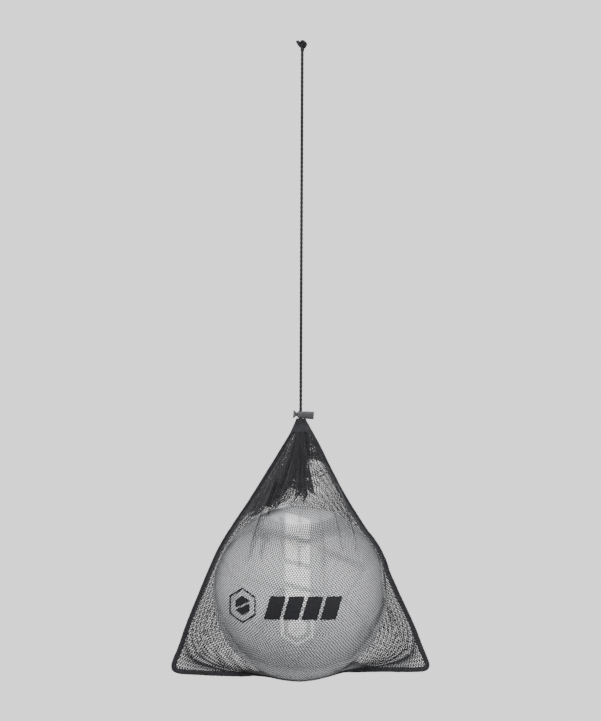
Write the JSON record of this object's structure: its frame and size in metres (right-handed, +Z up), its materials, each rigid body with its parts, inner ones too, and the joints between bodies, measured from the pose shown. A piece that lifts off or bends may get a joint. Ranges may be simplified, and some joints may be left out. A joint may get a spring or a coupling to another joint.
{
  "type": "mesh ball bag",
  "caption": "Hanging mesh ball bag with net panels, bound edges, a gathered drawcord neck, a sliding cord lock and a ball inside.",
  "frame": {"origin": "middle of the knot that the bag hangs from", "axes": "+Z up along the cord, +X along the bag's width, -Y out of its front"},
  "size_m": [0.3168, 0.2214, 0.8041],
  "materials": {
    "mesh": "matte",
    "binding": "matte",
    "cord": "satin",
    "lock_plastic": "satin",
    "spring_steel": "satin",
    "ball_skin": "satin",
    "bladder_rubber": "matte"
  },
  "bodies": {
    "hang_knot": {"drawcord_knot": "cord", "drawcord_tail_front": "cord", "drawcord_tail_rear": "cord"},
    "cord": {"drawcord_strand_front": "cord", "drawcord_strand_rear": "cord"},
    "lock": {"cord_lock_barrel": "lock_plastic", "cord_lock_spring": "spring_steel"},
    "lock_button": {"cord_lock_plunger": "lock_plastic"},
    "bag": {"front_mesh_panel": "mesh", "back_mesh_panel": "mesh", "edge_binding": "binding", "mouth_hem": "binding", "drawcord_loop": "cord"},
    "ball": {"ball_casing": "ball_skin", "ball_bladder": "bladder_rubber", "ball_valve": "bladder_rubber"}
  },
  "joints": [
    {"name": "cord_swing", "type": "hinge", "parent": "hang_knot", "child": "cord", "pos_m": [0, 0, -0.0075], "axis": [0, 1, 0], "range_deg": [-45, 45]},
    {"name": "lock_slide", "type": "slide", "parent": "cord", "child": "lock", "axis": [0, 0, 1], "range_m": [0, 0.44]},
    {"name": "button_press", "type": "slide", "parent": "lock", "child": "lock_button", "axis": [0.9976, 0, -0.0698], "range_m": [0, 0.002], "stiffness_N_per_m": 600, "springref_m": -0.002, "deforming": ["cord_lock_spring"]},
    {"name": "bag_twist", "type": "hinge", "parent": "cord", "child": "bag", "pos_m": [0, 0, -0.4735], "axis": [0, 0, 1], "range_deg": [-180, 180]},
    {"name": "ball_spin", "type": "hinge", "parent": "bag", "child": "ball", "pos_m": [0, 0, -0.6865], "axis": [0, 0, 1], "continuous": true}
  ]
}
